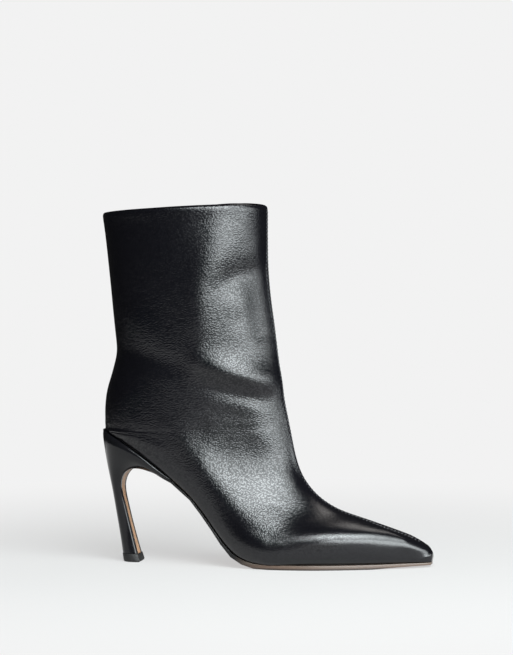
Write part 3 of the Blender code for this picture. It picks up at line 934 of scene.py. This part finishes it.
print("heel cover nodes:", len(tree.nodes))

# %% Round the heel's edges
EDGE_ANGLE, EDGE_STEPS = math.radians(35), 3
CORNER, CORNER_STEPS = 1.7, 4
# A face belongs to a side or to the front when its normal leans that way by more than this
SIDE_SLANT, FRONT_SLANT = 0.5, 0.3
HEEL_EDGE, HEEL_SUBDIVISIONS = 0.35, 1


def rounded_piece(name, mesh, material, edge, subdivisions=0):
    """A rigid piece with bevelled edges and, where asked for, smoothed sides."""
    piece = new_piece(name, mesh, [material])
    bevel = piece.modifiers.new("edges", "BEVEL")
    bevel.width = edge * MM
    bevel.segments = EDGE_STEPS
    bevel.limit_method = "ANGLE"
    bevel.angle_limit = EDGE_ANGLE
    if subdivisions:
        sides = piece.modifiers.new("sides", "SUBSURF")
        sides.levels = subdivisions
        sides.render_levels = subdivisions
    apply_modifiers(piece)
    return piece


def round_front_corners(mesh):
    """Bevel the two edges where the heel's sides turn into its front, which the cover wraps round."""
    corners = []
    for edge in mesh.edges:
        if len(edge.link_faces) != 2:
            continue
        outwards = 1.0 if edge.verts[0].co.y > RIDGE_Y else -1.0
        sides = [face for face in edge.link_faces if face.normal.y * outwards > SIDE_SLANT]
        fronts = [
            face for face in edge.link_faces
            if face.normal.x > FRONT_SLANT and abs(face.normal.y) < SIDE_SLANT
        ]
        if len(sides) == 1 and len(fronts) == 1:
            corners.append(edge)
    bmesh.ops.bevel(
        mesh, geom=corners, offset=CORNER * MM, affect="EDGES", segments=CORNER_STEPS, profile=0.5,
        material=-1, clamp_overlap=True,
    )
    return len(corners)


heel_mesh = merged_copy("heel")
print("corner edges:", round_front_corners(heel_mesh))
heel = rounded_piece("covered_heel", heel_mesh, cover, HEEL_EDGE, HEEL_SUBDIVISIONS)
stand_for(heel, "heel")
print("heel faces:", len(heel.data.polygons))

# %% [markdown]
# ## Sole
#
# The sole is a thin tan resin unit: satin, with fine grinding lines along it. It runs from the toe through
# the arch and down the front of the heel as a flap. There its middle stays tan, and a black margin runs
# down each side. Insetting the flap's faces draws those margins, where a texture would have to be fitted
# to the curve. The sole keeps the frame's shape and gets small rounded edges.

# %% Resin of the sole
GRIND, RESIN_CLOUD = 0.6, 16.0
# The grinding lines are twenty times as long as they are apart
GRIND_STRETCH = (0.05, 0.05, 1.0)

resin, tree = new_material("moulded_tan_resin_sole")
place = add(tree, "TexCoord").outputs["Object"]
lines = add(tree, "Mapping", {"Vector": place, "Scale": GRIND_STRETCH})
grind = add(
    tree, "TexNoise",
    {"Vector": lines.outputs["Vector"], "Scale": per_metre(GRIND), "Detail": 2.0},
)
cloud = add(tree, "TexNoise", {"Vector": place, "Scale": per_metre(RESIN_CLOUD), "Detail": 3.0})
tone = add(
    tree, "Mix",
    {"Factor": cloud.outputs["Fac"], "A": linear("8A6A50"), "B": linear("97775B")},
    data_type="RGBA",
)
bump = add(tree, "Bump", {"Height": grind.outputs["Fac"], "Strength": 0.15, "Distance": 0.1 * MM})
shader = add(
    tree, "BsdfPrincipled",
    {
        "Base Color": tone.outputs["Result"],
        "Roughness": 0.5,
        "IOR": 1.5,
        "Normal": bump.outputs["Normal"],
    },
)
add(tree, "OutputMaterial", {"Surface": shader.outputs["BSDF"]})
print("resin nodes:", len(tree.nodes))

# %% Inset the flap
FLAP_TO, FLAP_MARGIN = 52.0, 2.0
# A face looks a certain way when its normal leans there by more than this
EDGE_SLANT = 0.5
# A margin's middle lies further out than this share of its own reach from the middle line
MARGIN_OUT = 0.4
SOLE_EDGE = 0.4
# The ink is the sole's second material, after the resin
INK_FACE = 1

sole_mesh = merged_copy("outsole")
flap = []
for face in sole_mesh.faces:
    from_heel = (face.calc_center_median().x - HEEL_BACK) / MM
    looks_out = face.normal.x > EDGE_SLANT or face.normal.z < -EDGE_SLANT
    if from_heel < FLAP_TO and looks_out and abs(face.normal.y) < EDGE_SLANT:
        flap.append(face)
inset = bmesh.ops.inset_region(sole_mesh, faces=flap, thickness=FLAP_MARGIN * MM, use_even_offset=True)
for face in inset["faces"]:
    half_width = max(abs(v.co.y - RIDGE_Y) for v in face.verts)
    if abs(face.calc_center_median().y - RIDGE_Y) > MARGIN_OUT * half_width:
        face.material_index = INK_FACE
print("flap faces:", len(flap), "margin faces:", len(inset["faces"]))
outsole = rounded_piece("tan_sole", sole_mesh, resin, SOLE_EDGE)

# %% [markdown]
# ## Edge ink, painted highlight and painted shade
#
# A shoemaker brushes ink on the sole's cut edge. Under the arch it is black, so that it goes with the
# upper. From the ball to the toe it is brown. Along its top runs a lighter line, a painted highlight, and
# a darker foot where it meets the floor is painted shade. One material does it all: ramps along the boot
# and up from the floor blend its colours, so that they change without a seam.

# %% Ink of the edge
BRUSH_MARK = 2.0
# From black to brown: from the heel. Painted highlight and painted foot shade: up from the floor
INK_TURNS_FROM, INK_TURNS_TO = 104.0, 124.0
PAINTED_HIGHLIGHT_FROM, PAINTED_HIGHLIGHT_TO = 3.1, 3.7
PAINTED_SHADE_FROM, PAINTED_SHADE_TO = 0.7, 1.7

ink, tree = new_material("brushed_edge_ink_painted_highlight_and_shade")
place = add(tree, "TexCoord").outputs["Object"]
brush = add(tree, "TexNoise", {"Vector": place, "Scale": per_metre(BRUSH_MARK), "Detail": 3.0})
part_of = add(tree, "SeparateXYZ", {"Vector": place}).outputs
ahead = add(
    tree, "MapRange",
    {
        "Value": part_of["X"],
        "From Min": boot_point(INK_TURNS_FROM, 0, 0).x,
        "From Max": boot_point(INK_TURNS_TO, 0, 0).x,
    },
)
# Painted highlight: a lighter line along the top of the brown edge, only ahead of the arch
line = add(
    tree, "MapRange",
    {
        "Value": part_of["Z"],
        "From Min": PAINTED_HIGHLIGHT_FROM * MM, "From Max": PAINTED_HIGHLIGHT_TO * MM,
        "To Max": ahead.outputs["Result"],
    },
)
# Painted shade: the brown edge darkens towards the floor
foot = add(tree, "MapRange", {"Value": part_of["Z"], "From Min": PAINTED_SHADE_FROM * MM, "From Max": PAINTED_SHADE_TO * MM})
black = add(
    tree, "Mix",
    {"Factor": brush.outputs["Fac"], "A": linear("09090A"), "B": linear("131212")},
    data_type="RGBA",
)
brown = add(
    tree, "Mix",
    {"Factor": brush.outputs["Fac"], "A": linear("3E3129"), "B": linear("4B3C32")},
    data_type="RGBA",
)
# The brown edge with painted shade at its foot
with_painted_shade = add(
    tree, "Mix",
    {"Factor": foot.outputs["Result"], "A": linear("231B16"), "B": brown.outputs["Result"]},
    data_type="RGBA",
)
# The painted highlight line laid over the brown edge
polished = add(
    tree, "Mix",
    {"Factor": line.outputs["Result"], "A": with_painted_shade.outputs["Result"], "B": linear("60574F")},
    data_type="RGBA",
)
tone = add(
    tree, "Mix",
    {"Factor": ahead.outputs["Result"], "A": black.outputs["Result"], "B": polished.outputs["Result"]},
    data_type="RGBA",
)
shader = add(tree, "BsdfPrincipled", {"Base Color": tone.outputs["Result"], "Roughness": 0.4})
add(tree, "OutputMaterial", {"Surface": shader.outputs["BSDF"]})
print("ink nodes:", len(tree.nodes))

# %% Ink the edge
TIP_INK_FROM = 200.0

outsole.data.materials.append(ink)
for polygon in outsole.data.polygons:
    from_heel = (polygon.center.x - HEEL_BACK) / MM
    on_side = abs(polygon.normal.y) > EDGE_SLANT or polygon.normal.z > EDGE_SLANT
    on_tip = from_heel > TIP_INK_FROM and polygon.normal.x > EDGE_SLANT
    if on_side or on_tip:
        polygon.material_index = INK_FACE
stand_for(outsole, "outsole")
inked = sum(polygon.material_index == INK_FACE for polygon in outsole.data.polygons)
print("sole faces:", len(outsole.data.polygons), "with", inked, "inked")

# %% [markdown]
# ## Top piece
#
# The top piece under the heel is moulded black rubber that takes the wear. It is matt, and fine dust in
# its skin keeps it from looking like a flat black hole. It keeps the frame's shape and gets a small
# rounded edge.

# %% Rubber of the top piece
DUST = 1.5
TOP_PIECE_EDGE = 0.3

rubber, tree = new_material("moulded_black_heel_rubber")
place = add(tree, "TexCoord").outputs["Object"]
dust = add(tree, "TexNoise", {"Vector": place, "Scale": per_metre(DUST), "Detail": 4.0})
tone = add(
    tree, "Mix",
    {"Factor": dust.outputs["Fac"], "A": linear("050505"), "B": linear("0B0A0A")},
    data_type="RGBA",
)
bump = add(tree, "Bump", {"Height": dust.outputs["Fac"], "Strength": 0.2, "Distance": 0.1 * MM})
shader = add(
    tree, "BsdfPrincipled",
    {"Base Color": tone.outputs["Result"], "Roughness": 0.62, "Normal": bump.outputs["Normal"]},
)
add(tree, "OutputMaterial", {"Surface": shader.outputs["BSDF"]})
top_piece = rounded_piece("heel_top_piece", merged_copy("top_piece"), rubber, TOP_PIECE_EDGE)
stand_for(top_piece, "top_piece")
print("top piece faces:", len(top_piece.data.polygons))

# %% [markdown]
# ## Insole
#
# Down inside lies the insole with its sock of soft beige leather, brushed so that it looks dry and even.
# It only shows from above, down the shaft. The sock is glued on a dark fibre board, whose edge and
# underside stay bare. Both are one piece here, told apart by which way its faces look.

# %% Sock of the insole
SOCK_NAP = 2.5
INSOLE_EDGE = 0.5

sock, tree = new_material("brushed_sheepskin_insole_sock")
place = add(tree, "TexCoord").outputs["Object"]
nap = add(tree, "TexNoise", {"Vector": place, "Scale": per_metre(SOCK_NAP), "Detail": 5.0})
tone = add(
    tree, "Mix",
    {"Factor": nap.outputs["Fac"], "A": linear("9C8A76"), "B": linear("B5A390")},
    data_type="RGBA",
)
bump = add(tree, "Bump", {"Height": nap.outputs["Fac"], "Strength": 0.25, "Distance": 0.2 * MM})
shader = add(
    tree, "BsdfPrincipled",
    {"Base Color": tone.outputs["Result"], "Roughness": 0.85, "Normal": bump.outputs["Normal"]},
)
add(tree, "OutputMaterial", {"Surface": shader.outputs["BSDF"]})
insole = rounded_piece("insole_sock", merged_copy("insole"), sock, INSOLE_EDGE)
print("insole faces:", len(insole.data.polygons))

# %% Board under the sock
# Pressed fibre board is dull and nearly black, with short fibres in its face
BOARD_FIBRE = 0.8
# The board is the insole's second material, on every face that does not look up by more than this
BOARD_FACE = 1
LOOKS_UP = 0.5

board, tree = new_material("pressed_dark_fibre_board")
place = add(tree, "TexCoord").outputs["Object"]
fibres = add(tree, "TexNoise", {"Vector": place, "Scale": per_metre(BOARD_FIBRE), "Detail": 4.0})
tone = add(
    tree, "Mix",
    {"Factor": fibres.outputs["Fac"], "A": linear("0D0C0B"), "B": linear("1A1714")},
    data_type="RGBA",
)
shader = add(tree, "BsdfPrincipled", {"Base Color": tone.outputs["Result"], "Roughness": 0.8})
add(tree, "OutputMaterial", {"Surface": shader.outputs["BSDF"]})
insole.data.materials.append(board)
for polygon in insole.data.polygons:
    if polygon.normal.z < LOOKS_UP:
        polygon.material_index = BOARD_FACE
stand_for(insole, "insole")
print("board faces:", sum(polygon.material_index for polygon in insole.data.polygons))
